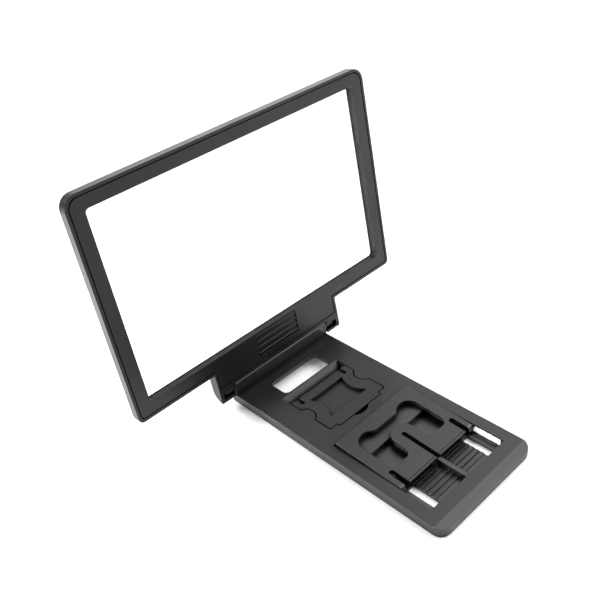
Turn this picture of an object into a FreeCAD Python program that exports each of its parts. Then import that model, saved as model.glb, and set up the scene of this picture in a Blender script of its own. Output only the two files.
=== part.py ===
"""A folding screen magnifier: a wide lens in a thin frame, hinged to a narrow base tray.

Millimetres. X runs along the hinge, +Y points from the base's free end to the lens, +Z is up.
The origin is the centre of the base's underside, which its four rubber feet hold just off
the floor.

The base is two mouldings, a tray and a bottom cover. A small flap and a larger backrest lie
flush in the tray: either one is raised to lean a telephone on. The backrest also slides along
a toothed rack, on two pins that run in grooves in the tray's side walls.
"""
import FreeCAD
import Part
import Sketcher
import math
import os

Vector = FreeCAD.Vector

# name, size, what it is
DIMENSIONS = [
    ("base_length", 147.4, "base, along Y"),
    ("base_width", 70.0, "base, along X"),
    ("base_top", 5.9, "tray's top face, above the underside"),
    ("parting", 1.5, "seam between tray and cover, above the underside"),
    ("skin", 2.5, "thickness of the tray's top wall"),
    ("skirt_wall", 1.6, "thickness of the tray's side walls"),
    ("base_corner", 6.0, "corner radius of the base, seen from above"),
    ("seam_gap", 0.3, "gap along a visible seam"),
    ("bevel_run", 5.0, "length of the bevel at the free end"),
    ("bevel_drop", 1.3, "fall of the bevel at the free end"),
    ("port_width", 34.0, "opening in front of the hinge, along X"),
    ("port_length", 13.0, "opening in front of the hinge, along Y"),
    ("port_middle", 51.0, "opening's middle, along Y"),
    ("port_corner", 3.0, "opening's corner radius"),
    ("port_flare", 3.7, "how much wider the cover's opening is"),
    ("axis_back", 67.2, "hinge axis, along Y"),
    ("axis_height", 9.9, "hinge axis, above the underside"),
    ("barrel_radius", 5.0, "hinge barrel"),
    ("barrel_half", 34.6, "hinge barrel, half its length"),
    ("barrel_front", 2.45, "barrel's flat front, ahead of the axis"),
    ("barrel_top", 4.35, "barrel's flat top, above the axis"),
    ("barrel_round", 1.6, "rounding of the barrel's front edge"),
    ("barrel_wall", 1.6, "wall around the barrel's hollow core"),
    ("barrel_core_half", 28.0, "hollow core, half its length"),
    ("peg_radius", 1.5, "hinge peg"),
    ("peg_start", 29.0, "hinge peg's inner end, along X"),
    ("peg_end", 41.0, "hinge peg's outer end, along X"),
    ("running_gap", 0.08, "radial clearance of a turning fit"),
    ("washer_radius", 2.1, "friction washer"),
    ("washer_thickness", 0.5, "friction washer"),
    ("end_gap", 0.1, "end clearance beside a washer"),
    ("frame_width", 185.0, "lens frame, along X"),
    ("frame_height", 121.0, "lens frame, along its own height"),
    ("frame_lift", 15.5, "frame's lower edge, above the hinge axis"),
    ("frame_depth", 6.4, "lens frame, front to back"),
    ("face_offset", 2.7, "frame's front face, ahead of the hinge axis"),
    ("open_angle", 83.4, "turn of the frame from lying flat, as it stands"),
    ("frame_corner_top", 7.0, "frame's upper corners"),
    ("frame_corner_low", 3.0, "frame's lower corners"),
    ("frame_back_round", 1.5, "rounding of the frame's back edges"),
    ("rim", 2.1, "shell's rim around the bezel"),
    ("bezel_gap", 0.55, "gap between rim and bezel"),
    ("bezel_depth", 2.2, "bezel's thickness"),
    ("flange_depth", 4.3, "bezel's flange around the window, from the face"),
    ("flange_wall", 1.5, "thickness of that flange"),
    ("bezel_chin_half", 43.0, "bezel's chin, half its width"),
    ("bezel_chin_low", 6.4, "bezel's chin, lower edge above the axis"),
    ("chin_half", 45.2, "chin, half its width"),
    ("ear_drop", 3.4, "ears' lowest edge, below the axis"),
    ("ear_round", 7.5, "radius of the ears' lower back"),
    ("ear_window_high", 1.9, "ear's window, above the axis"),
    ("ear_window_low", 1.9, "ear's window, below the axis"),
    ("ear_window_end", 43.0, "ear's window, outer end"),
    ("chin_gap_high", 4.5, "chin's edge above the barrel, from the axis"),
    ("barrel_clearance", 0.25, "radial gap between barrel and chin"),
    ("window_half", 83.6, "lens window, half its width"),
    ("window_low", 8.8, "window's lower edge, above the frame's"),
    ("window_high", 112.6, "window's upper edge, above the frame's lower edge"),
    ("window_corner", 2.0, "window's corner radius"),
    ("window_step", 0.6, "how much wider the shell's window is"),
    ("window_flare", 0.8, "bevel around the window at the back"),
    ("lens_overlap", 3.0, "lens hidden behind the frame, each side"),
    ("lens_thickness", 1.2, "lens"),
    ("lens_play", 0.2, "gap around the lens"),
    ("grip_half", 14.8, "finger grip, half its width"),
    ("grip_low", 5.4, "finger grip, below the frame's lower edge"),
    ("grip_high", 8.0, "finger grip, above the frame's lower edge"),
    ("grip_depth", 0.7, "finger grip's sunk floor"),
    ("grip_pitch", 3.63, "from one grip rib to the next"),
    ("grip_rib", 1.3, "width of a grip rib"),
    ("grip_ribs", 4.0, "number of grip ribs"),
    ("flap_axis_back", 36.3, "flap's axis, along Y"),
    ("flap_thickness", 3.2, "flap"),
    ("flap_half", 20.4, "flap, half its width"),
    ("flap_gap", 0.7, "gap around the flap"),
    ("flap_tip", 6.4, "flap's free edge, along Y"),
    ("flap_shoulder", 8.3, "flap's shoulders, along Y"),
    ("flap_tongue_half", 15.3, "flap's free edge, half its width"),
    ("scallop_back", 30.2, "scallop's end near the hinge, along Y"),
    ("scallop_front", 18.8, "scallop's other end, along Y"),
    ("scallop_radius", 6.2, "scallop in each side of the flap"),
    ("flap_corner", 1.5, "flap's corner radius"),
    ("flap_pin_radius", 1.0, "flap's stub pins"),
    ("flap_pin_end", 22.0, "flap's stub pins, outer end along X"),
    ("relief_half", 1.15, "half the width of the flap's relief slots"),
    ("relief_middle", 16.0, "relief slots' middle, along X"),
    ("relief_end", 31.7, "relief slots' end, along Y"),
    ("dish_back", 31.4, "flap's dished pocket, far edge along Y"),
    ("dish_front", 14.3, "flap's dished pocket, near edge along Y"),
    ("dish_half_back", 12.2, "pocket's far edge, half its width"),
    ("dish_half_front", 13.8, "pocket's near edge, half its width"),
    ("dish_radius", 15.0, "curve of the pocket's sides"),
    ("dish_depth", 1.9, "flap's dished pocket"),
    ("notch_half", 6.3, "finger notch, half its width"),
    ("notch_radius", 8.3, "finger notch"),
    ("notch_depth", 3.6, "finger notch"),
    ("ramp_top", 43.5, "sloped stop behind the flap, top edge along Y"),
    ("ramp_foot", 40.05, "sloped stop behind the flap, foot along Y"),
    ("rest_axis", -43.3, "backrest's pins, along Y"),
    ("rest_axis_height", 3.0, "backrest's pins, above the underside"),
    ("rest_tilt", 3.1, "backrest's slope when it lies down, degrees"),
    ("rest_length", 41.7, "backrest, from its pins to its free edge"),
    ("rest_half", 27.5, "backrest, half its width"),
    ("rest_under", 0.3, "backrest's underside, above its pins"),
    ("rest_thickness", 2.6, "backrest"),
    ("rest_overhang", 0.9, "backrest's ends, beyond its pins"),
    ("arm_round", 1.9, "rounding of the arms' ends"),
    ("rest_corner", 1.0, "backrest's corners"),
    ("rest_edge", 0.4, "rounding of the backrest's top edges"),
    ("well_half", 28.0, "backrest's well in the tray, half its width"),
    ("well_back", -1.0, "well's far edge, along Y"),
    ("well_front", -61.9, "well's near edge, along Y"),
    ("arm_inner", 24.4, "backrest's arms, inner side along X"),
    ("arm_slot", 21.4, "slot beside each arm, inner side along X"),
    ("arm_slot_end", 10.3, "slot beside each arm, from the pins"),
    ("lug_radius", 1.4, "round end of an arm"),
    ("slide_pin_radius", 0.8, "backrest's pins"),
    ("slide_pin_start", 24.9, "backrest's pins, inner end along X"),
    ("slide_pin_end", 29.3, "backrest's pins, outer end along X"),
    ("pin_gap", 0.05, "radial clearance of the backrest's pins"),
    ("track_back", -42.4, "pin groove's far end, along Y"),
    ("track_front", -60.0, "pin groove's near end, along Y"),
    ("track_end", 30.0, "pin groove's end wall, along X"),
    ("track_top", 5.0, "pin groove's roof, above the underside"),
    ("liner_thickness", 0.6, "low-friction liner in the groove"),
    ("tongue_root", 8.6, "line that a tongue bends on, from the pins"),
    ("tongue_gap_top", 0.02, "gap at a tongue's root, top face"),
    ("tongue_gap_under", 0.18, "gap at a tongue's root, underside"),
    ("lip_thickness", 1.05, "lip on a tongue's tip"),
    ("lip_length", 1.1, "lip on a tongue's tip"),
    ("lip_groove", 0.3, "line scored behind the lip"),
    ("middle_slot_half", 1.25, "slot between the tongues, half its width"),
    ("middle_slot_end", 21.7, "slot between the tongues, from the pins"),
    ("post_half", 7.2, "post between the cutouts, half its width"),
    ("post_arch", 20.0, "centre of the post's round end, from the pins"),
    ("cutout_low", 9.9, "cutouts' near edge, from the pins"),
    ("cutout_band", 32.7, "cutouts' far edge, from the pins"),
    ("cutout_corner", 4.0, "cutouts' corner radius"),
    ("lobe_middle", 14.4, "lobes' centres, along X"),
    ("lobe_centre", 29.0, "lobes' centres, from the pins"),
    ("lobe_radius", 6.7, "lobes"),
    ("rack_pitch", 2.93, "from one rack tooth to the next"),
    ("rack_teeth", 5.0, "number of rack teeth"),
    ("rack_wall", 2.35, "first tooth's steep face, ahead of the pins"),
    ("rack_valley", 1.35, "tooth roots, above the underside"),
    ("rack_crest", 1.85, "tooth tips, above the underside"),
    ("rack_parking_crest", 1.55, "first tooth's tip, under the parked backrest's lips"),
    ("rack_half", 18.7, "rack, half its width"),
    ("rack_back", -44.0, "rack's far end, along Y"),
    ("rib_half", 1.1, "rack's middle rib, half its width"),
    ("rib_top", 4.7, "rack's middle rib, above the underside"),
    ("slot_outer", 23.2, "openings beside the rack, outer side along X"),
    ("bump_half", 21.3, "raised block under the backrest, half its width"),
    ("bump_back", -3.0, "raised block, far edge along Y"),
    ("bump_front", -17.8, "raised block, near edge along Y"),
    ("bump_top", 4.6, "raised block, above the underside"),
    ("rim_half_flap", 23.6, "wall around the flap's well, outer side"),
    ("rim_front_flap", 1.8, "wall around the flap's well, near side along Y"),
    ("rim_back_flap", 44.4, "wall around the flap's well, far side along Y"),
    ("rim_half_rest", 31.2, "wall around the backrest's well, outer side"),
    ("rim_front_rest", -64.0, "wall around the backrest's well, near side"),
    ("foot_radius", 4.8, "rubber foot"),
    ("foot_thickness", 1.0, "rubber foot"),
    ("foot_proud", 0.4, "how far a foot stands out of the underside"),
    ("foot_across", 27.0, "feet, along X"),
    ("foot_along", 66.0, "feet, along Y"),
    ("boss_radius", 2.7, "screw boss"),
    ("screw_head_radius", 2.1, "screw head"),
    ("screw_head_base", 0.1, "screw head's outer face, above the underside"),
    ("screw_head_height", 0.7, "screw head"),
    ("screw_radius", 0.85, "screw shank"),
    ("screw_length", 3.6, "screw shank"),
    ("screw_across", 28.5, "side screws, along X"),
    ("screw_back", 50.0, "rear screws, along Y"),
    ("screw_middle", 8.0, "middle screws, along Y"),
    ("screw_front_across", 14.0, "front screws, along X"),
    ("screw_front", -67.5, "front screws, along Y"),
]

document = FreeCAD.newDocument("screen_magnifier")


# parts of another size, whatever that size is
SCALLOP_SHARE = 0.7  # of the well's gap, by which the ends of a scallop move in
KNUCKLE_SHARE = 0.45  # of the flap's thickness, rounding of its hinge edge
SLOT_END_SHARE = 0.9  # of half a slot's width, rounding of its closed end
GRIP_ROUND_SHARE = 0.4  # of a grip rib's width, rounding of its upper edges
CORE_WALL_SHARE = 1.5  # of the barrel's wall, behind its core and above it
SCREW_SLOT_WIDTH = 0.6  # of the screw's radius
SCREW_SLOT_LENGTH = 1.4  # of the screw head's radius

# how near counts as the same place, and what is too short to be an edge to round
SAME = 0.001
SHORT = 1.0

# ---------------------------------------------------------------- sizes and expressions


class Size(float):
    """A number that remembers the spreadsheet expression it comes from."""

    def __new__(cls, value, text):
        size = float.__new__(cls, value)
        size.text = text
        return size

    def __add__(self, other):
        return Size(float(self) + float(other), f"({self.text} + {text_of(other)})")

    def __radd__(self, other):
        return Size(float(other) + float(self), f"({text_of(other)} + {self.text})")

    def __sub__(self, other):
        return Size(float(self) - float(other), f"({self.text} - {text_of(other)})")

    def __rsub__(self, other):
        return Size(float(other) - float(self), f"({text_of(other)} - {self.text})")

    def __mul__(self, other):
        return Size(float(self) * float(other), f"({self.text} * {text_of(other)})")

    __rmul__ = __mul__

    def __truediv__(self, other):
        return Size(float(self) / float(other), f"({self.text} / {text_of(other)})")

    def __neg__(self):
        return Size(-float(self), f"(-{self.text})")


def text_of(number):
    """The expression text of a size, or of a plain number."""
    return number.text if isinstance(number, Size) else repr(float(number))


def root(size):
    """The square root of a size, as a size."""
    return Size(math.sqrt(float(size)), f"sqrt({size.text})")


def fill_sheet():
    """Put every driving dimension in a cell with an alias, and return them by name."""
    sheet = document.addObject("Spreadsheet::Sheet", "Sizes")
    sizes = {}
    for row, (name, value, meaning) in enumerate(DIMENSIONS, start=1):
        sheet.set(f"A{row}", meaning)
        sheet.set(f"B{row}", str(value))
        sheet.setAlias(f"B{row}", name)
        sizes[name] = Size(value, f"Sizes.{name}")
    document.recompute()
    return sizes


SIZE = fill_sheet()


def at(name):
    """A driving dimension by name."""
    return SIZE[name]


# ---------------------------------------------------------------- outlines
#
# An outline is a list of corners. A corner is (x, y), reached by a straight line, or
# (x, y, radius, turn), reached by an arc: turn +1 curves left, -1 curves right.


def rectangle(low_x, high_x, low_y, high_y):
    return [(low_x, low_y), (high_x, low_y), (high_x, high_y), (low_x, high_y)]


def rounded(low_x, high_x, low_y, high_y, low_radius, high_radius=None):
    """A rectangle with one radius at its lower corners and one at its upper corners."""
    a = low_radius
    b = low_radius if high_radius is None else high_radius
    return [
        (low_x, low_y + a),
        (low_x + a, low_y, a, 1),
        (high_x - a, low_y),
        (high_x, low_y + a, a, 1),
        (high_x, high_y - b),
        (high_x - b, high_y, b, 1),
        (low_x + b, high_y),
        (low_x, high_y - b, b, 1),
    ]


def centred(half_x, half_y, radius, middle_x=0.0, middle_y=0.0):
    """A rounded rectangle around a middle point."""
    return rounded(
        middle_x - half_x, middle_x + half_x, middle_y - half_y, middle_y + half_y, radius
    )


def both_sides(outline):
    """An outline and its mirror image across the Y axis."""
    return [outline, mirrored(outline)]


def mirrored(outline):
    """The mirror image across the Y axis, listed in the opposite order."""
    result = []
    for index in range(len(outline) - 1, -1, -1):
        corner = outline[index]
        following = outline[(index + 1) % len(outline)]
        result.append((-corner[0], corner[1]) + tuple(following[2:]))
    return result


def circle(x, y, radius):
    return ("circle", x, y, radius)


def point_of(corner):
    return Vector(float(corner[0]), float(corner[1]), 0)


def arc_between(start, end, radius, turn):
    """The shorter arc from start to end, with its centre to the left (+1) or right (-1)."""
    chord = end - start
    left = Vector(-chord.y, chord.x, 0).normalize()
    rise = math.sqrt(max(radius**2 - (chord.Length / 2) ** 2, 0))
    centre = (start + end) / 2 + left * (turn * rise)
    return Part.Arc(start, centre - left * (turn * radius), end)


def bind(sketch, constraint, size):
    """Add a constraint, and tie its value to the sheet."""
    index = sketch.addConstraint(constraint)
    if isinstance(size, Size):
        sketch.setExpression(f"Constraints[{index}]", size.text)


def draw_circle(sketch, x, y, radius):
    geometry = sketch.addGeometry(
        Part.Circle(Vector(float(x), float(y), 0), Vector(0, 0, 1), float(radius))
    )
    bind(sketch, Sketcher.Constraint("DistanceX", -1, 1, geometry, 3, float(x)), x)
    bind(sketch, Sketcher.Constraint("DistanceY", -1, 1, geometry, 3, float(y)), y)
    bind(sketch, Sketcher.Constraint("Radius", geometry, float(radius)), radius)


def draw_outline(sketch, corners):
    """Draw a closed outline whose corners and radii are all tied to the sheet."""
    kept = [
        corner
        for index, corner in enumerate(corners)
        if (point_of(corner) - point_of(corners[index - 1])).Length > SAME
    ]
    edges = []
    for index, start in enumerate(kept):
        end = kept[(index + 1) % len(kept)]
        first, last = point_of(start), point_of(end)
        if len(end) > 2:
            edges.append(sketch.addGeometry(arc_between(first, last, float(end[2]), end[3])))
        else:
            edges.append(sketch.addGeometry(Part.LineSegment(first, last)))
    ends = {}
    for index, start in enumerate(kept):
        end = kept[(index + 1) % len(kept)]
        ends[index] = (2, 1) if len(end) > 2 and end[3] < 0 else (1, 2)
    for index, edge in enumerate(edges):
        following = (index + 1) % len(edges)
        sketch.addConstraint(
            Sketcher.Constraint(
                "Coincident", edge, ends[index][1], edges[following], ends[following][0]
            )
        )
    for index, (edge, corner) in enumerate(zip(edges, kept)):
        x, y = corner[0], corner[1]
        end = kept[(index + 1) % len(kept)]
        spot = ends[index][0]
        bind(sketch, Sketcher.Constraint("DistanceX", -1, 1, edge, spot, float(x)), x)
        bind(sketch, Sketcher.Constraint("DistanceY", -1, 1, edge, spot, float(y)), y)
        if len(end) > 2:
            bind(sketch, Sketcher.Constraint("Radius", edge, float(end[2])), end[2])


# ---------------------------------------------------------------- features


def new_body(label):
    body = document.addObject("PartDesign::Body", label)
    body.Label = label
    return body


def sketch_on(body, name, loops, plane, height):
    """A sketch on one of the body's own origin planes, moved along the plane's normal."""
    sketch = body.newObject("Sketcher::SketchObject", name + "_sketch")
    support = [item for item in body.Origin.OriginFeatures if item.Role == plane][0]
    sketch.AttachmentSupport = [(support, "")]
    sketch.MapMode = "FlatFace"
    sketch.AttachmentOffset = FreeCAD.Placement(
        Vector(0, 0, float(height)), FreeCAD.Rotation()
    )
    if isinstance(height, Size):
        sketch.setExpression("AttachmentOffset.Base.z", height.text)
    for loop in loops:
        if loop[0] == "circle":
            draw_circle(sketch, *loop[1:])
        else:
            draw_outline(sketch, loop)
    return sketch


def feature(body, kind, name, loops, length, height, plane, symmetric):
    sketch = sketch_on(body, name, loops, plane, height)
    item = body.newObject(kind, name)
    item.Profile = sketch
    item.Refine = True
    if symmetric:
        item.SideType = "Symmetric"
    item.Length = float(length)
    if isinstance(length, Size):
        item.setExpression("Length", length.text)
    document.recompute()
    return item


def pad(body, name, loops, length, height=0.0, plane="XY_Plane", symmetric=False):
    """Add material from the sketch's plane along its normal."""
    before = body.Shape.Volume if body.Tip else 0
    item = feature(body, "PartDesign::Pad", name, loops, length, height, plane, symmetric)
    if body.Shape.Volume <= before:
        raise ValueError(f"{name} adds nothing to {body.Label}")
    return item


def pocket(body, name, loops, length, height=0.0, plane="XY_Plane", symmetric=False):
    """Take material away from the sketch's plane, against its normal."""
    before = body.Shape.Volume
    item = feature(body, "PartDesign::Pocket", name, loops, length, height, plane, symmetric)
    if body.Shape.Volume >= before:
        raise ValueError(f"{name} takes nothing from {body.Label}")
    return item


def dress(body, kind, name, size, chosen):
    """A fillet or chamfer on the edges that chosen(edge) picks."""
    tip = body.Tip
    names = [f"Edge{i + 1}" for i, edge in enumerate(tip.Shape.Edges) if chosen(edge)]
    if not names:
        raise ValueError(f"{name} finds no edges on {body.Label}")
    item = body.newObject(kind, name)
    item.Base = (tip, names)
    field = "Radius" if kind.endswith("Fillet") else "Size"
    setattr(item, field, float(size))
    if isinstance(size, Size):
        item.setExpression(field, size.text)
    document.recompute()
    if item.Shape.isNull():
        raise ValueError(f"{name} can't be made on {body.Label}")
    return item


def fillet(body, name, radius, chosen):
    return dress(body, "PartDesign::Fillet", name, radius, chosen)


def chamfer(body, name, size, chosen):
    return dress(body, "PartDesign::Chamfer", name, size, chosen)


def level(edge, height):
    """True if the whole edge lies at this height."""
    box = edge.BoundBox
    return max(abs(box.ZMin - float(height)), abs(box.ZMax - float(height))) < SAME


def place(item, y, z, angle=None):
    """Move a finished body to (0, y, z), turned about X by an angle in degrees."""
    turn = 0.0 if angle is None else float(angle)
    item.Placement = FreeCAD.Placement(
        Vector(0, float(y), float(z)), FreeCAD.Rotation(Vector(1, 0, 0), turn)
    )
    item.setExpression("Placement.Base.y", text_of(y))
    item.setExpression("Placement.Base.z", text_of(z))
    if angle is not None:
        item.setExpression("Placement.Rotation.Angle", f"{text_of(angle)} * 1 deg")


# ---------------------------------------------------------------- the lens frame
#
# The frame's bodies are drawn lying flat, with the hinge axis at their origin, +Y up the
# frame and +Z towards the telephone. place_on_hinge then stands them up.

FACE = at("face_offset")
FRAME_LOW = at("frame_lift")
FRAME_HIGH = FRAME_LOW + at("frame_height")
FRAME_HALF = at("frame_width") / 2
FRAME_BACK = FACE - at("frame_depth")
EAR_INNER = at("barrel_half") + at("washer_thickness") + at("end_gap") * 2


def place_on_hinge(body):
    place(body, at("axis_back"), at("axis_height"), at("open_angle"))


def window_outline(growth, radius):
    """The lens window, or the same outline moved outwards by growth."""
    half = at("window_half") + growth
    low = FRAME_LOW + at("window_low") - growth
    high = FRAME_LOW + at("window_high") + growth
    return rounded(-half, half, low, high, radius)


def bezel_outlines(gap):
    """The bezel's two overlapping outlines, moved outwards by gap: its frame and its chin."""
    inset = at("rim") - gap
    corner_low = at("frame_corner_low") - inset / 2
    corner_high = at("frame_corner_top") - inset
    half = FRAME_HALF - inset
    frame = rounded(
        -half, half, FRAME_LOW + inset, FRAME_HIGH - inset, corner_low, corner_high
    )
    chin_half = at("bezel_chin_half") + gap
    chin = rectangle(
        -chin_half, chin_half, at("bezel_chin_low") - gap, FRAME_LOW + at("rim") * 2
    )
    return frame, chin


def make_rear_shell():
    """The frame's viewer-side moulding, with the chin and the two hinge ears."""
    body = new_body("lens_rear_shell")
    slab = rounded(
        -FRAME_HALF,
        FRAME_HALF,
        FRAME_LOW,
        FRAME_HIGH,
        at("frame_corner_low"),
        at("frame_corner_top"),
    )
    pad(body, "shell_slab", [slab], at("frame_depth"), FRAME_BACK)
    fillet(
        body, "shell_back_round", at("frame_back_round"), lambda e: level(e, FRAME_BACK)
    )
    chin_top = FRAME_LOW + at("rim") * 2
    chin = [
        (chin_top, FACE),
        (-at("ear_drop"), FACE),
        (at("ear_drop"), FRAME_BACK, at("ear_round"), 1),
        (chin_top, FRAME_BACK),
    ]
    pad(body, "shell_chin", [chin], at("chin_half") * 2, 0.0, "YZ_Plane", True)

    seat, chin_seat = bezel_outlines(at("bezel_gap"))
    pocket(body, "bezel_seat", [seat], at("bezel_depth"), FACE)
    pocket(body, "bezel_chin_seat", [chin_seat], at("bezel_depth"), FACE)
    lens_growth = at("lens_overlap") + at("lens_play")
    lens_room = at("flange_depth") + at("lens_thickness")
    pocket(
        body, "lens_seat", [window_outline(lens_growth, at("lens_overlap"))], lens_room, FACE
    )
    pocket(
        body, "shell_window", [window_outline(at("window_step"), at("window_corner"))],
        at("frame_depth") * 2, FACE,
    )
    inside = float(at("window_half") + at("window_step")) + SAME
    above = float(FRAME_LOW + at("window_low")) - SHORT
    chamfer(
        body, "window_bevel", at("window_flare"),
        lambda e: level(e, FRAME_BACK)
        and max(abs(e.BoundBox.XMin), abs(e.BoundBox.XMax)) < inside
        and e.BoundBox.YMin > above,
    )
    cavity = rectangle(
        -(at("bezel_chin_half") - at("rim")), at("bezel_chin_half") - at("rim"),
        at("bezel_chin_low") + at("rim"), FRAME_LOW + at("rim") / 2,
    )
    pocket(body, "chin_cavity", [cavity], at("frame_depth") - at("skirt_wall"), FACE)

    ear_window = rectangle(
        EAR_INNER, at("ear_window_end"), -at("ear_window_low"), at("ear_window_high")
    )
    pocket(body, "ear_windows", both_sides(ear_window), FACE, FACE)
    bore = circle(0.0, 0.0, at("peg_radius") + at("running_gap"))
    pocket(body, "ear_bores", [bore], at("ear_window_end") * 2, 0.0, "YZ_Plane", True)

    reach = at("barrel_radius") * 3
    below = rectangle(-reach, at("chin_gap_high"), -reach, reach)
    pocket(body, "barrel_space", [below], EAR_INNER * 2, 0.0, "YZ_Plane", True)
    sweep = circle(0.0, 0.0, at("barrel_radius") + at("barrel_clearance"))
    pocket(body, "barrel_sweep", [sweep], EAR_INNER * 2, 0.0, "YZ_Plane", True)
    place_on_hinge(body)
    return body


def make_front_bezel():
    """The flush cover on the telephone's side, with the finger grip on its chin."""
    body = new_body("lens_front_bezel")
    back = FACE - at("bezel_depth")
    frame, chin = bezel_outlines(0.0)
    pad(body, "bezel_slab", [frame], at("bezel_depth"), back)
    pad(body, "bezel_chin", [chin], at("bezel_depth"), back)
    chamfer(
        body, "bezel_edge", at("seam_gap") / 2,
        lambda e: level(e, FACE) and e.Length > SHORT,
    )
    low = FRAME_LOW - at("grip_low")
    high = FRAME_LOW + at("grip_high")
    grip = rectangle(-at("grip_half"), at("grip_half"), low, high)
    pocket(body, "grip_floor", [grip], at("grip_depth"), FACE)
    ribs = []
    for number in range(int(at("grip_ribs"))):
        start = low + at("grip_rib") / 2 + at("grip_pitch") * number
        half = at("grip_half") - at("seam_gap")
        ribs.append(rectangle(-half, half, start, start + at("grip_rib")))
    rib_height = at("grip_depth")
    pad(body, "grip_ribs", ribs, rib_height, FACE - rib_height)
    inner = float(at("grip_half")) - SAME
    fillet(
        body, "grip_round", at("grip_rib") * GRIP_ROUND_SHARE,
        lambda e: level(e, FACE)
        and e.BoundBox.XLength > inner * 2 - SHORT
        and max(-e.BoundBox.XMin, e.BoundBox.XMax) < inner
        and e.BoundBox.YLength < SAME,
    )
    ring = window_outline(at("flange_wall"), at("window_corner"))
    depth = at("flange_depth") - at("bezel_depth")
    pad(body, "bezel_flange", [ring], depth, FACE - at("flange_depth"))
    pocket(
        body, "bezel_window", [window_outline(0.0, at("window_corner"))],
        at("flange_depth") * 2, FACE,
    )
    place_on_hinge(body)
    return body


def make_lens():
    """The thin plastic lens, held between shell and bezel."""
    body = new_body("fresnel_lens")
    growth = at("lens_overlap")
    thickness = at("lens_thickness") - at("lens_play") / 2
    back = FACE - at("flange_depth") - at("lens_thickness")
    outline = window_outline(growth, at("lens_overlap") - at("lens_play"))
    pad(body, "lens_slab", [outline], thickness, back)
    place_on_hinge(body)
    return body


# ---------------------------------------------------------------- the base


BASE_HALF = at("base_width") / 2
BASE_END = at("base_length") / 2
TOP = at("base_top")
PARTING = at("parting")
FLAP_AXIS = at("flap_axis_back")
FLAP_HEIGHT = TOP - at("flap_thickness") / 2


def flap_outline(gap):
    """The flap seen from above, or its well when gap is more than nothing.

    The well's scallops keep the flap's centres, so their ends move in by a part of the gap.
    """
    inset = gap * SCALLOP_SHARE
    half = at("flap_half") + gap
    tongue = at("flap_tongue_half") + gap
    back = FLAP_AXIS + at("flap_thickness") / 2 + gap
    tip = at("flap_tip") - gap
    shoulder = at("flap_shoulder") - gap
    corner = at("flap_corner")
    return [
        (half, back),
        (-half, back),
        (-half, at("scallop_back") - inset),
        (-half, at("scallop_front") + inset, at("scallop_radius") - gap, -1),
        (-half, shoulder + corner),
        (-half + corner, shoulder, corner, 1),
        (-tongue, shoulder),
        (-tongue, tip),
        (tongue, tip),
        (tongue, shoulder),
        (half - corner, shoulder),
        (half, shoulder + corner, corner, 1),
        (half, at("scallop_front") + inset),
        (half, at("scallop_back") - inset, at("scallop_radius") - gap, -1),
    ]


def screw_places():
    """Where the six screws stand, as (x, y)."""
    places = []
    for side in (-1, 1):
        places.append((at("screw_across") * side, at("screw_back")))
        places.append((at("screw_across") * side, at("screw_middle")))
        places.append((at("screw_front_across") * side, at("screw_front")))
    return places


def foot_places():
    """Where the four feet stand, by node name."""
    places = {}
    for end, along in (("rear", at("foot_along")), ("front", -at("foot_along"))):
        for name, side in (("left", -1), ("right", 1)):
            places[f"{end}_{name}_foot"] = (at("foot_across") * side, along)
    return places


def barrel_profile():
    """The hinge barrel across its length: flat in front and on top, round behind."""
    centre_y, centre_z = at("axis_back"), at("axis_height")
    front = centre_y - at("barrel_front")
    top = centre_z + at("barrel_top")
    edge = at("barrel_round")
    radius = at("barrel_radius")
    shoulder = root(radius * radius - at("barrel_top") * at("barrel_top"))
    root_height = TOP - at("skin") / 2
    return [
        (front, top - edge),
        (front, root_height),
        (centre_y + radius, root_height),
        (centre_y + radius, centre_z),
        (centre_y + shoulder, top, radius, 1),
        (front + edge, top),
        (front, top - edge, edge, 1),
    ]


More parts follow.
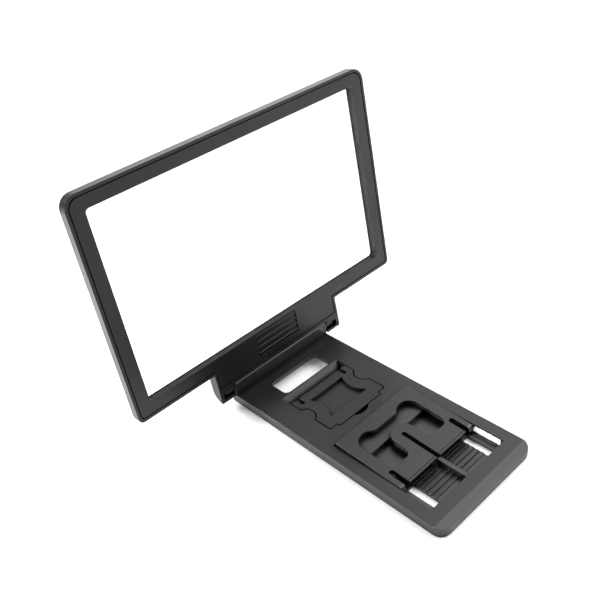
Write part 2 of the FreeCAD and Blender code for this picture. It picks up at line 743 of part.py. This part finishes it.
def make_top_tray():
    """The base's upper moulding: top wall, skirt, wells for flap and backrest, hinge barrel."""
    body = new_body("base_top_tray")
    outer = centred(BASE_HALF, BASE_END, at("base_corner"))
    pad(body, "tray_slab", [outer], TOP - PARTING, PARTING)
    fillet(body, "tray_edge", at("rest_edge"), lambda e: level(e, TOP))
    bevel = [
        (-BASE_END + at("bevel_run"), TOP),
        (-BASE_END - at("bevel_run"), TOP - at("bevel_drop") * 2),
        (-BASE_END - at("bevel_run"), TOP + at("bevel_drop")),
        (-BASE_END + at("bevel_run"), TOP + at("bevel_drop")),
    ]
    pocket(body, "front_bevel", [bevel], BASE_HALF * 3, 0.0, "YZ_Plane", True)
    inside = at("skirt_wall")
    hollow = centred(BASE_HALF - inside, BASE_END - inside, at("base_corner") - inside)
    pocket(body, "tray_hollow", [hollow], TOP - at("skin") - PARTING, TOP - at("skin"))

    under = TOP - at("skin") - PARTING + at("skin") / 2
    flap_rim = rounded(
        -at("rim_half_flap"), at("rim_half_flap"),
        at("rim_front_flap"), at("rim_back_flap"), at("flap_corner"),
    )
    pad(body, "flap_rim", [flap_rim], under, PARTING)
    rest_rim = rounded(
        -at("rim_half_rest"), at("rim_half_rest"),
        at("rim_front_rest"), at("rim_front_flap") - at("well_back"), at("flap_corner"),
    )
    pad(body, "rest_rim", [rest_rim], under, PARTING)
    bosses = [circle(x, y, at("boss_radius")) for x, y in screw_places()]
    pad(body, "screw_bosses", bosses, under, PARTING)

    deep = TOP * 2
    pocket(body, "flap_well", [flap_outline(at("flap_gap"))], deep, TOP)
    half = at("flap_half") + at("flap_gap")
    behind = rectangle(-half, half, FLAP_AXIS, at("ramp_foot"))
    pocket(body, "flap_well_back", [behind], deep, TOP)
    ramp = [
        (at("ramp_foot") - at("flap_corner"), PARTING),
        (at("ramp_foot"), PARTING),
        (at("ramp_top"), TOP),
        (at("ramp_foot") - at("flap_corner"), TOP),
    ]
    pocket(body, "ramp", [ramp], half * 2, 0.0, "YZ_Plane", True)
    tip = at("flap_tip")
    notch = [
        (-at("notch_half"), tip),
        (at("notch_half"), tip, at("notch_radius"), 1),
    ]
    pocket(body, "finger_notch", [notch], at("notch_depth"), TOP)
    socket = circle(FLAP_AXIS, FLAP_HEIGHT, at("flap_pin_radius") + at("running_gap"))
    pocket(
        body, "flap_sockets", [socket], (at("flap_pin_end") + at("end_gap")) * 2, 0.0,
        "YZ_Plane", True,
    )

    well = rectangle(-at("well_half"), at("well_half"), at("well_front"), at("well_back"))
    pocket(body, "rest_well", [well], deep, TOP)
    track = rectangle(at("track_front"), at("track_back"), PARTING, at("track_top"))
    pocket(body, "pin_tracks", [track], at("track_end") * 2, 0.0, "YZ_Plane", True)
    port = centred(
        at("port_width") / 2, at("port_length") / 2, at("port_corner"), 0.0, at("port_middle")
    )
    pocket(body, "port", [port], deep, TOP)

    pad(body, "barrel", [barrel_profile()], at("barrel_half") * 2, 0.0, "YZ_Plane", True)
    wall = at("barrel_wall")
    core = rectangle(
        at("axis_back") - at("barrel_front") + wall,
        at("axis_back") + at("barrel_radius") - wall * CORE_WALL_SHARE,
        PARTING, at("axis_height") + at("barrel_top") - wall * CORE_WALL_SHARE,
    )
    pocket(body, "barrel_core", [core], at("barrel_core_half") * 2, 0.0, "YZ_Plane", True)
    peg = circle(at("axis_back"), at("axis_height"), at("peg_radius"))
    pocket(body, "peg_bores", [peg], at("barrel_half") * 2, 0.0, "YZ_Plane", True)
    pilots = [circle(x, y, at("screw_radius")) for x, y in screw_places()]
    pilot_top = at("screw_head_base") + at("screw_head_height") + at("screw_length")
    pocket(body, "pilot_holes", pilots, pilot_top - PARTING + at("end_gap"),
           pilot_top + at("end_gap"))
    return body


def rack_profile():
    """The rack along its length: teeth that are steep towards the free end.

    The first tooth is low, because the lips of the parked backrest stand over it.
    """
    first = at("rest_axis") - at("rack_wall")
    low = at("rack_valley")
    bed = at("seam_gap")
    corners = [
        (at("rack_back"), low),
        (at("rack_back"), bed),
        (at("well_front"), bed),
        (at("well_front"), low),
    ]
    for number in range(int(at("rack_teeth")) - 1, -1, -1):
        steep = first - at("rack_pitch") * number
        crest = at("rack_crest") if number else at("rack_parking_crest")
        corners.append((steep, low))
        corners.append((steep, crest))
    return corners


def make_bottom_cover():
    """The base's lower moulding, with the rack, its middle rib and the backrest's block."""
    body = new_body("base_bottom_cover")
    inset = at("seam_gap")
    outer = centred(BASE_HALF - inset, BASE_END - inset, at("base_corner") - inset)
    pad(body, "cover_slab", [outer], PARTING)
    bed = rectangle(-at("rack_half"), at("rack_half"), at("well_front"), at("rack_back"))
    pocket(body, "rack_bed", [bed], PARTING - at("seam_gap"), PARTING)
    pad(body, "rack", [rack_profile()], at("rack_half") * 2, 0.0, "YZ_Plane", True)
    rib = rectangle(
        -at("rib_half"), at("rib_half"), at("well_front") + inset, at("rack_back") - inset
    )
    pad(body, "middle_rib", [rib], at("rib_top") - inset, inset)
    bump = rectangle(-at("bump_half"), at("bump_half"), at("bump_front"), at("bump_back"))
    pad(body, "bump", [bump], at("bump_top") - inset, inset)
    deep = TOP * 2
    opening = rectangle(
        at("rack_half"), at("slot_outer"), at("well_front"), at("rack_back")
    )
    pocket(body, "side_openings", both_sides(opening), deep, TOP)
    flare = at("port_flare")
    half = at("port_width") / 2
    length = at("port_length") / 2
    port = rounded(
        -half - flare, half + flare,
        at("port_middle") - length - inset * 2, at("port_middle") + length + flare,
        at("port_corner"),
    )
    pocket(body, "cover_port", [port], deep, TOP)
    bore = at("screw_radius") + inset
    holes = [circle(x, y, bore) for x, y in screw_places()]
    pocket(body, "screw_holes", holes, deep, TOP)
    head_top = at("screw_head_base") + at("screw_head_height")
    sinks = [circle(x, y, at("screw_head_radius") + inset) for x, y in screw_places()]
    pocket(body, "screw_sinks", sinks, head_top, head_top)
    seats = [circle(x, y, at("foot_radius") + inset) for x, y in foot_places().values()]
    seat_depth = at("foot_thickness") - at("foot_proud")
    pocket(body, "foot_seats", seats, seat_depth, seat_depth)
    return body


def make_pegs_and_washers():
    """The two hinge pegs and the friction washers between barrel and ears."""
    length = at("peg_end") - at("peg_start")
    for name, side in (("left", -1), ("right", 1)):
        start = at("peg_start") if side > 0 else -at("peg_end")
        peg = new_body(f"{name}_hinge_peg")
        pad(peg, f"{name}_peg", [circle(0.0, 0.0, at("peg_radius"))], length, start, "YZ_Plane")
        place(peg, at("axis_back"), at("axis_height"))
        inner = at("barrel_half") + at("end_gap")
        start = inner if side > 0 else -inner - at("washer_thickness")
        washer = new_body(f"{name}_friction_washer")
        ring = [
            circle(0.0, 0.0, at("washer_radius")),
            circle(0.0, 0.0, at("peg_radius") + at("pin_gap")),
        ]
        pad(washer, f"{name}_washer", ring, at("washer_thickness"), start, "YZ_Plane")
        place(washer, at("axis_back"), at("axis_height"))


def make_feet():
    """Four rubber feet, each sunk in the cover."""
    for name, (x, y) in foot_places().items():
        foot = new_body(name)
        proud = at("foot_proud")
        disc = circle(x, y, at("foot_radius"))
        pad(foot, name + "_disc", [disc], at("foot_thickness"), -proud)
        fillet(foot, name + "_round", at("seam_gap"), lambda e: level(e, -proud))


def make_screws():
    """Six cover screws, as one group of separate solids."""
    screws = []
    for number, (x, y) in enumerate(screw_places(), start=1):
        head = document.addObject("Part::Cylinder", f"screw_head_{number}")
        shank = document.addObject("Part::Cylinder", f"screw_shank_{number}")
        slot = document.addObject("Part::Box", f"screw_slot_{number}")
        head_base = at("screw_head_base")
        head_top = head_base + at("screw_head_height")
        width = at("screw_radius") * SCREW_SLOT_WIDTH
        length = at("screw_head_radius") * SCREW_SLOT_LENGTH
        for item, radius, height, base in (
            (head, at("screw_head_radius"), at("screw_head_height"), head_base),
            (shank, at("screw_radius"), at("screw_length"), head_top),
        ):
            item.setExpression("Radius", radius.text)
            item.setExpression("Height", height.text)
            item.setExpression("Placement.Base.x", text_of(x))
            item.setExpression("Placement.Base.y", text_of(y))
            item.setExpression("Placement.Base.z", text_of(base))
        slot.setExpression("Length", length.text)
        slot.setExpression("Width", width.text)
        slot.setExpression("Height", (at("screw_head_height") / 2).text)
        slot.setExpression("Placement.Base.x", text_of(x - length / 2))
        slot.setExpression("Placement.Base.y", text_of(y - width / 2))
        slot.setExpression("Placement.Base.z", text_of(head_base))
        joined = document.addObject("Part::Fuse", f"screw_blank_{number}")
        joined.Base = head
        joined.Tool = shank
        screw = document.addObject("Part::Cut", f"screw_{number}")
        screw.Base = joined
        screw.Tool = slot
        screws.append(screw)
    group = document.addObject("Part::Compound", "base_cover_screws")
    group.Label = "base_cover_screws"
    group.Links = screws
    return group


# ---------------------------------------------------------------- flap and backrest


def make_flap():
    """The small rest near the lens, with sprung ears and stub pins at its hinge end."""
    body = new_body("phone_flap")
    thickness = at("flap_thickness")
    base = TOP - thickness
    pad(body, "flap_slab", [flap_outline(0.0)], thickness, base)
    back = float(FLAP_AXIS + thickness / 2)
    fillet(
        body, "flap_knuckle", thickness * KNUCKLE_SHARE,
        lambda e: abs(e.BoundBox.YMin - back) < SAME and e.BoundBox.XLength > SHORT,
    )
    stub = circle(FLAP_AXIS, FLAP_HEIGHT, at("flap_pin_radius"))
    pad(body, "flap_stubs", [stub], at("flap_pin_end") * 2, 0.0, "YZ_Plane", True)
    half = at("relief_half")
    middle = at("relief_middle")
    relief = rounded(
        middle - half, middle + half, at("relief_end"), FLAP_AXIS + thickness,
        half * SLOT_END_SHARE,
    )
    pocket(body, "flap_reliefs", both_sides(relief), TOP, TOP)
    dish = [
        (at("dish_half_front"), at("dish_front")),
        (at("dish_half_back"), at("dish_back"), at("dish_radius"), -1),
        (-at("dish_half_back"), at("dish_back")),
        (-at("dish_half_front"), at("dish_front"), at("dish_radius"), -1),
    ]
    pocket(body, "flap_dish", [dish], at("dish_depth"), TOP)
    return body


def cutout_outline():
    """The backrest's cutout: two lobes, a band between them and a pocket each side."""
    low = at("cutout_low")
    band = at("cutout_band")
    corner = at("cutout_corner")
    post = at("post_half")
    arch = at("post_arch")
    lobe = at("lobe_radius")
    lobe_x = at("lobe_middle")
    lobe_y = at("lobe_centre")
    outer = lobe_x + lobe
    # the band's edge meets each lobe in a tangent arc of radius corner
    rise = band + corner - lobe_y
    reach = lobe + corner
    run = root(reach * reach - rise * rise)
    touch_x = lobe_x - run * lobe / reach
    touch_y = lobe_y + rise * lobe / reach
    return [
        (post, arch),
        (post, low + corner),
        (post + corner, low, corner, 1),
        (outer - corner, low),
        (outer, low + corner, corner, 1),
        (outer, lobe_y),
        (lobe_x, lobe_y + lobe, lobe, 1),
        (touch_x, touch_y, lobe, 1),
        (lobe_x - run, band, corner, -1),
        (-lobe_x + run, band),
        (-touch_x, touch_y, corner, -1),
        (-lobe_x, lobe_y + lobe, lobe, 1),
        (-outer, lobe_y, lobe, 1),
        (-outer, low + corner),
        (-outer + corner, low, corner, 1),
        (-post - corner, low),
        (-post, low + corner, corner, 1),
        (-post, arch),
        (0.0, arch + post, post, -1),
        (post, arch, post, -1),
    ]


def place_on_pins(body):
    place(body, at("rest_axis"), at("rest_axis_height"), at("rest_tilt"))


def make_backrest():
    """The large rest, drawn lying flat with its pins' axis at the origin."""
    body = new_body("phone_backrest")
    under = at("rest_under")
    thickness = at("rest_thickness")
    top = under + thickness
    tip = -at("rest_overhang")
    length = at("rest_length")
    half_width = at("rest_half")
    corner = at("rest_corner")
    outline = [
        (-half_width, tip),
        (half_width, tip),
        (half_width, length - corner),
        (half_width - corner, length, corner, 1),
        (-half_width + corner, length),
        (-half_width, length - corner, corner, 1),
    ]
    pad(body, "rest_slab", [outline], thickness, under)
    fillet(
        body, "arm_ends", at("arm_round"),
        lambda e: level(e, top) and abs(e.BoundBox.YMax - float(tip)) < SAME,
    )
    fillet(
        body, "rest_edges", at("rest_edge"),
        lambda e: level(e, top) and e.BoundBox.YMax > SHORT,
    )
    width = at("rest_half") - at("arm_inner")
    lug = circle(0.0, 0.0, at("lug_radius"))
    pad(body, "right_lug", [lug], width, at("arm_inner"), "YZ_Plane")
    pad(body, "left_lug", [lug], width, -at("rest_half"), "YZ_Plane")
    deep = top * 2
    pocket(body, "rest_cutout", [cutout_outline()], deep, top)
    tongue_end = at("tongue_root")
    beyond = tip - length
    pocket(
        body, "tongue_room",
        [rectangle(-at("arm_slot"), at("arm_slot"), beyond, tongue_end)], deep * 2, deep,
    )
    half = (at("arm_inner") - at("arm_slot")) / 2
    arm_slot = rounded(
        at("arm_slot"), at("arm_inner"), beyond, at("arm_slot_end"), half, half
    )
    pocket(body, "arm_slots", both_sides(arm_slot), deep * 2, deep)
    slot_half = at("middle_slot_half")
    middle = rounded(-slot_half, slot_half, 0.0, at("middle_slot_end"), slot_half * SLOT_END_SHARE)
    pocket(body, "middle_slot", [middle], deep, top)
    bore = circle(0.0, 0.0, at("slide_pin_radius") + at("pin_gap"))
    pocket(body, "pin_bores", [bore], at("rest_half") * 2, 0.0, "YZ_Plane", True)
    place_on_pins(body)
    return body


def tongue_profile():
    """A tongue along its length: slanted root, scored line and thin lip."""
    under = at("rest_under")
    top = under + at("rest_thickness")
    tip = -at("rest_overhang")
    lip_end = tip + at("lip_length")
    lip_under = top - at("lip_thickness")
    score = at("lip_groove")
    return [
        (lip_end, under),
        (at("tongue_root") - at("tongue_gap_under"), under),
        (at("tongue_root") - at("tongue_gap_top"), top),
        (lip_end + score, top),
        (lip_end + score, top - score),
        (lip_end, top - score),
        (lip_end, top),
        (tip, top),
        (tip, lip_under),
        (lip_end, lip_under),
    ]


def make_tongues():
    """The two sprung tongues at the backrest's hinge end, with a thin lip on each tip."""
    width = at("arm_slot") - at("middle_slot_half")
    for name, side in (("left", -1), ("right", 1)):
        body = new_body(f"{name}_spring_tongue")
        start = at("middle_slot_half") if side > 0 else -at("arm_slot")
        pad(body, f"{name}_tongue_slab", [tongue_profile()], width, start, "YZ_Plane")
        place_on_pins(body)


def make_track_liners():
    """A low-friction liner in each pin groove: a floor strip and an end wall."""
    thickness = at("liner_thickness")
    front = at("track_front")
    back = at("track_back")
    inner = at("well_half")
    outer = at("track_end")
    for name, side in (("left", -1), ("right", 1)):
        body = new_body(f"{name}_track_liner")
        floor = rectangle(inner, outer, front, back)
        wall = rectangle(outer - thickness, outer, front, back)
        if side < 0:
            floor = mirrored(floor)
            wall = mirrored(wall)
        pad(body, f"{name}_liner_floor", [floor], thickness, PARTING)
        pad(body, f"{name}_liner_wall", [wall], at("track_top") - PARTING, PARTING)


def make_slide_pins():
    """The backrest's two pins: they turn in its arms and slide in the tray's grooves."""
    length = at("slide_pin_end") - at("slide_pin_start")
    for name, side in (("left", -1), ("right", 1)):
        start = at("slide_pin_start") if side > 0 else -at("slide_pin_end")
        body = new_body(f"{name}_slide_pin")
        pad(body, f"{name}_pin", [circle(0.0, 0.0, at("slide_pin_radius"))], length, start,
            "YZ_Plane")
        place(body, at("rest_axis"), at("rest_axis_height"))


# ---------------------------------------------------------------- build and write


def build():
    make_rear_shell()
    make_front_bezel()
    make_lens()
    make_top_tray()
    make_bottom_cover()
    make_pegs_and_washers()
    make_feet()
    make_screws()
    make_flap()
    make_backrest()
    make_tongues()
    make_slide_pins()
    make_track_liners()
    document.recompute()


def check():
    """Stop if any object of the document has failed."""
    for item in document.Objects:
        if "Invalid" in item.State or "Error" in item.State:
            raise RuntimeError(f"{item.Label} failed: {item.State}")


def write():
    """Write each sub-part's shape to its own file."""
    os.makedirs("parts", exist_ok=True)
    subparts = [item for item in document.Objects if item.TypeId == "PartDesign::Body"]
    subparts.append(document.getObject("base_cover_screws"))
    for item in subparts:
        if item.Shape.isNull() or not item.Shape.isValid():
            raise RuntimeError(f"{item.Label} has no valid shape")
        item.Shape.exportStep(os.path.join("parts", item.Label + ".step"))
        print(item.Label, len(item.Shape.Solids), round(item.Shape.Volume))


build()
check()
write()
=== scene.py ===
"""Looks for the folding screen magnifier: materials, floor, light and camera.

Everything is in metres, in the CAD frame: +Z up, +Y from the base's free end to the lens.
Every shape is a CAD node, and each gets a material made of shader nodes.
"""
import math

import bpy
from mathutils import Matrix, Vector


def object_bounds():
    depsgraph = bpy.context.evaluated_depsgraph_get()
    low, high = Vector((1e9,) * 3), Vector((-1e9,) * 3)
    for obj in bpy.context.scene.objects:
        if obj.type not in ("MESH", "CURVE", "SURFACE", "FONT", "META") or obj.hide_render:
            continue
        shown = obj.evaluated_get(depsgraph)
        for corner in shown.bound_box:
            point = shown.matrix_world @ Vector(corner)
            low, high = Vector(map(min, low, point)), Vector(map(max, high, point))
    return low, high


MM = 0.001
WHITE = (1.0, 1.0, 1.0, 1.0)

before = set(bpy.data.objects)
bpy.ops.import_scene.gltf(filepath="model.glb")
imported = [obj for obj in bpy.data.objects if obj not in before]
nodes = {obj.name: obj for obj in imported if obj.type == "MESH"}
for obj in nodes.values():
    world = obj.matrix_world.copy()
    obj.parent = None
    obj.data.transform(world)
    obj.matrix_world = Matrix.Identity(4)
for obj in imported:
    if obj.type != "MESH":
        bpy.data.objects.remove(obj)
cad_box = [list(corner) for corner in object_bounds()]

# ---------------------------------------------------------------- black plastic

EDGE_ROUNDING = 0.25 * MM
ROUGHNESS = 0.31
SMOOTHER = 0.04  # how far the roughness falls where the surface is glossiest
ROUGHER = 0.05  # how far it rises where the surface is dullest
GLOSS_CLOUDS_PER_METRE = 35.0
GRAIN_PER_METRE = 9000.0
GRAIN_STRENGTH = 0.35
FINE_GRAIN = 0.015 * MM
COARSE_GRAIN = 0.02 * MM

# painted shade in crevices, on top of the shade the render already gives: how far a surface looks
# round it for walls that keep the light out
CREVICE = 4.0 * MM
# the open share of its surroundings at which a surface gleams least, and fully
CLOSED, OPEN = 0.52, 0.86
CREVICE_GLEAM = 0.06  # the share of its gleam that it keeps in a crevice

# most of a noise texture lies between these values
NOISE_RANGE = (0.3, 0.7)

# ---------------------------------------------------------------- studio

FLOOR_HEIGHT = cad_box[0][2]
FLOOR_HALF = 3.0
FLOOR_GLOW = 0.1

AMBIENT = 0.12
BACKDROP = 1.0
# soft bright patches of the sky: direction, half-angle in degrees, strength
SOFTBOXES = [
    ((0.53, 0.64, 0.50), 32, 1.25),
    ((0.57, 0.80, 0.15), 12, 1.0),
    ((0.50, -0.68, 0.50), 26, 1.7),
    ((0.52, -0.12, 0.84), 22, 3.1),
    ((-1.0, 0.1, 0.06), 12, 36.0),
]
# a patch is full up to the first multiple of its half-angle, and fades out at the second
PATCH_FULL, PATCH_END = 0.5, 1.5
# lamps that brighten the floor where the lens frame reflects it: name, place, target, side, watts
FLOOR_LAMPS = [
    ("floor_glow", (-0.26, 0.24, 0.30), (-0.22, 0.20, 0.0), 0.16, 2.2),
    ("right_floor_glow", (0.50, -0.36, 0.40), (0.50, -0.36, 0.0), 0.3, 2.8),
]

# the view: from the base's free end, turned to the right and looking down, in degrees
CAMERA_AZIMUTH = -40.176
CAMERA_ELEVATION = 34.875
CAMERA_ROLL = -6.839
CAMERA_PLACE = Vector((-214.556, -209.926, 290.525)) * MM
CAMERA_LENS = 47.604  # for a sensor that is 36 wide
SENSOR_WIDTH = 36.0
CLIP_START = 0.01

# ---------------------------------------------------------------- node helpers


def new_material(name):
    material = bpy.data.materials.new(name)
    material.use_nodes = True
    tree = material.node_tree
    tree.nodes.clear()
    output = tree.nodes.new("ShaderNodeOutputMaterial")
    return material, tree, output


def add_node(tree, kind, inputs=None, **settings):
    """A node with some settings, and with inputs that are values or other nodes' outputs."""
    node = tree.nodes.new(kind)
    for name, value in settings.items():
        setattr(node, name, value)
    for name, value in (inputs or {}).items():
        socket = node.inputs[name]
        if isinstance(value, bpy.types.NodeSocket):
            tree.links.new(value, socket)
        else:
            socket.default_value = value
    return node


def texture_space(tree):
    """The object's own coordinates, in metres."""
    return add_node(tree, "ShaderNodeTexCoord").outputs["Object"]


def noise(tree, space, per_metre, detail=2.0, roughness=0.5):
    return add_node(
        tree, "ShaderNodeTexNoise",
        {"Vector": space, "Scale": per_metre, "Detail": detail, "Roughness": roughness},
    ).outputs["Fac"]


def spread(tree, value, source, target, **settings):
    """The value, mapped from the source range to the target range and kept inside it."""
    return add_node(
        tree, "ShaderNodeMapRange",
        {
            "Value": value,
            "From Min": source[0],
            "From Max": source[1],
            "To Min": target[0],
            "To Max": target[1],
        },
        **settings,
    ).outputs["Result"]


def bump(tree, height, strength, distance, normal=None):
    inputs = {"Height": height, "Strength": strength, "Distance": distance}
    if normal is not None:
        inputs["Normal"] = normal
    return add_node(tree, "ShaderNodeBump", inputs).outputs["Normal"]


def shade(tree, output, inputs):
    principled = add_node(tree, "ShaderNodeBsdfPrincipled", inputs)
    tree.links.new(principled.outputs[0], output.inputs["Surface"])


# ---------------------------------------------------------------- materials


def moulded_black(name, colour, gleam, grain_height):
    """Satin black plastic: softened edges, fine eroded grain, faint gloss changes.

    Its crevices lose their gleam through painted shade: an occlusion mask darkens them where
    little light reaches them.
    """
    material, tree, output = new_material(name)
    space = texture_space(tree)
    edges = add_node(tree, "ShaderNodeBevel", {"Radius": EDGE_ROUNDING}, samples=4)
    grain = noise(tree, space, GRAIN_PER_METRE, detail=2.0, roughness=0.6)
    normal = bump(tree, grain, GRAIN_STRENGTH, grain_height, edges.outputs["Normal"])
    clouds = noise(tree, space, GLOSS_CLOUDS_PER_METRE, detail=3.0)
    gloss = spread(tree, clouds, NOISE_RANGE, (ROUGHNESS - SMOOTHER, ROUGHNESS + ROUGHER))
    # painted shade: the specular gleam falls in crevices, following an occlusion mask
    crevice_shade_mask = add_node(
        tree, "ShaderNodeAmbientOcclusion", {"Distance": CREVICE}, samples=4, only_local=False
    ).outputs["AO"]
    painted_shade_gleam = spread(tree, crevice_shade_mask, (CLOSED, OPEN), (CREVICE_GLEAM * gleam, gleam))
    shade(
        tree, output,
        {
            "Base Color": (colour, colour, colour * 1.02, 1.0),
            "Roughness": gloss,
            "IOR": 1.5,
            "Specular IOR Level": painted_shade_gleam,
            "Normal": normal,
        },
    )
    return material


def clear_acrylic():
    """Clear sheet: straight-through rays keep their light, so it casts almost no shadow."""
    material, tree, output = new_material("clear_acrylic")
    glass = add_node(
        tree, "ShaderNodeBsdfPrincipled",
        {
            "Base Color": (0.985, 0.99, 0.99, 1.0),
            "Roughness": 0.02,
            "IOR": 1.03,
            "Transmission Weight": 1.0,
        },
    )
    clear = add_node(tree, "ShaderNodeBsdfTransparent", {"Color": (0.96, 0.965, 0.965, 1.0)})
    path = add_node(tree, "ShaderNodeLightPath")
    mix = add_node(
        tree, "ShaderNodeMixShader",
        {0: path.outputs["Is Shadow Ray"], 1: glass.outputs[0], 2: clear.outputs[0]},
    )
    tree.links.new(mix.outputs[0], output.inputs["Surface"])
    return material


def soft_rubber():
    """Matt black rubber with a fine pitted grain."""
    material, tree, output = new_material("soft_rubber")
    grain = noise(tree, texture_space(tree), 6000.0, detail=3.0)
    normal = bump(tree, grain, 0.5, 0.05 * MM)
    shade(
        tree, output,
        {"Base Color": (0.035, 0.035, 0.035, 1.0), "Roughness": 0.85, "Normal": normal},
    )
    return material


def dark_nylon():
    material, tree, output = new_material("dark_nylon")
    gloss = spread(tree, noise(tree, texture_space(tree), 900.0), NOISE_RANGE, (0.3, 0.42))
    shade(
        tree, output,
        {"Base Color": (0.05, 0.05, 0.055, 1.0), "Roughness": gloss, "Coat Weight": 0.1},
    )
    return material


def plated_steel():
    material, tree, output = new_material("plated_steel")
    gloss = spread(tree, noise(tree, texture_space(tree), 3000.0), NOISE_RANGE, (0.25, 0.4))
    shade(
        tree, output,
        {"Base Color": (0.62, 0.61, 0.59, 1.0), "Metallic": 1.0, "Roughness": gloss},
    )
    return material


def white_acetal_with_painted_glow():
    """White plastic with a painted glow, a little light of its own, so that it reads as clean
    white.
    """
    material, tree, output = new_material("white_acetal_with_painted_glow")
    gloss = spread(tree, noise(tree, texture_space(tree), 1500.0), NOISE_RANGE, (0.3, 0.4))
    shade(
        tree, output,
        {
            "Base Color": (0.9, 0.9, 0.9, 1.0),
            "Roughness": gloss,
            "IOR": 1.48,
            # painted light: the liner glows though it is no lamp
            "Emission Color": WHITE,
            "Emission Strength": 0.45,
        },
    )
    return material


def cover(names, material):
    for name in names:
        mesh = nodes[name].data
        mesh.materials.clear()
        mesh.materials.append(material)


def finish_surfaces():
    """Give every CAD node its material."""
    cover(["base_top_tray"], moulded_black("satin_black_shell", 0.004, 0.52, COARSE_GRAIN))
    cover(["base_bottom_cover"], moulded_black("satin_black_rack", 0.004, 0.75, COARSE_GRAIN))
    cover(
        ["lens_rear_shell", "lens_front_bezel"],
        moulded_black("satin_black_lens_frame", 0.003, 0.34, COARSE_GRAIN),
    )
    moving = ["phone_flap", "phone_backrest"]
    for piece in ("spring_tongue", "slide_pin", "hinge_peg"):
        moving += [f"left_{piece}", f"right_{piece}"]
    cover(moving, moulded_black("satin_black_moving_parts", 0.004, 0.5, FINE_GRAIN))
    cover(["fresnel_lens"], clear_acrylic())
    cover(["left_friction_washer", "right_friction_washer"], dark_nylon())
    cover([name for name in nodes if name.endswith("_foot")], soft_rubber())
    cover(["base_cover_screws"], plated_steel())
    cover(["left_track_liner", "right_track_liner"], white_acetal_with_painted_glow())


# ---------------------------------------------------------------- setting


def make_floor():
    """A white floor that glows faintly, which keeps its shadows soft."""
    signs = ((-1, -1), (1, -1), (1, 1), (-1, 1))
    corners = [(x * FLOOR_HALF, y * FLOOR_HALF, FLOOR_HEIGHT) for x, y in signs]
    mesh = bpy.data.meshes.new("floor")
    mesh.from_pydata(corners, [], [(0, 1, 2, 3)])
    floor = bpy.data.objects.new("floor", mesh)
    bpy.context.scene.collection.objects.link(floor)
    material, tree, output = new_material("white_floor")
    shade(
        tree, output,
        {
            "Base Color": (0.96, 0.96, 0.96, 1.0),
            "Roughness": 0.6,
            "Emission Color": WHITE,
            "Emission Strength": FLOOR_GLOW,
        },
    )
    mesh.materials.append(material)


def sky_patch(tree, sky, direction, half_angle, strength):
    """The strength of one soft bright patch in each direction of the sky."""
    towards = add_node(
        tree, "ShaderNodeVectorMath",
        {0: sky, 1: Vector(direction).normalized()}, operation="DOT_PRODUCT",
    )
    end = math.cos(math.radians(half_angle * PATCH_END))
    full = math.cos(math.radians(half_angle * PATCH_FULL))
    return spread(
        tree, towards.outputs["Value"], (end, full), (0.0, strength),
        interpolation_type="SMOOTHSTEP",
    )


def make_world():
    """An even light from all round, with soft bright patches, before a white backdrop."""
    world = bpy.data.worlds.new("studio")
    world.use_nodes = True
    tree = world.node_tree
    background = tree.nodes["Background"]
    background.inputs["Color"].default_value = WHITE
    sky = add_node(tree, "ShaderNodeTexCoord").outputs["Generated"]
    total = AMBIENT
    for softbox in SOFTBOXES:
        patch = sky_patch(tree, sky, *softbox)
        total = add_node(tree, "ShaderNodeMath", {0: total, 1: patch}, operation="ADD").outputs[0]
    # what is seen directly, or through the lens, is the plain backdrop
    path = add_node(tree, "ShaderNodeLightPath")
    seen = add_node(
        tree, "ShaderNodeMath",
        {0: path.outputs["Is Camera Ray"], 1: path.outputs["Is Transmission Ray"]},
        operation="MAXIMUM",
    )
    strength = spread(tree, seen.outputs[0], (0.0, 1.0), (total, BACKDROP))
    tree.links.new(strength, background.inputs["Strength"])
    bpy.context.scene.world = world


def floor_lamp(name, place, target, side, watts):
    data = bpy.data.lights.new(name, "AREA")
    data.shape = "RECTANGLE"
    data.size = side
    data.size_y = side
    data.energy = watts
    light = bpy.data.objects.new(name, data)
    light.location = place
    light.rotation_euler = (Vector(target) - Vector(place)).to_track_quat("-Z", "Y").to_euler()
    bpy.context.scene.collection.objects.link(light)


def make_camera():
    azimuth = math.radians(CAMERA_AZIMUTH)
    elevation = math.radians(CAMERA_ELEVATION)
    roll = math.radians(CAMERA_ROLL)
    back = Vector(
        (
            math.sin(azimuth) * math.cos(elevation),
            -math.cos(azimuth) * math.cos(elevation),
            math.sin(elevation),
        )
    )
    right = (-back).cross(Vector((0, 0, 1))).normalized()
    up = right.cross(-back)
    turned_right = right * math.cos(roll) + up * math.sin(roll)
    turned_up = up * math.cos(roll) - right * math.sin(roll)
    data = bpy.data.cameras.new("camera")
    data.sensor_width = SENSOR_WIDTH
    data.lens = CAMERA_LENS
    data.clip_start = CLIP_START
    camera = bpy.data.objects.new("camera", data)
    axes = Matrix((turned_right, turned_up, back)).transposed()
    camera.matrix_world = Matrix.Translation(CAMERA_PLACE) @ axes.to_4x4()
    bpy.context.scene.collection.objects.link(camera)
    bpy.context.scene.camera = camera


finish_surfaces()
make_floor()
make_world()
for lamp in FLOOR_LAMPS:
    floor_lamp(*lamp)
make_camera()

scene = bpy.context.scene
scene.view_settings.view_transform = "Standard"
scene.cycles.use_denoising = True
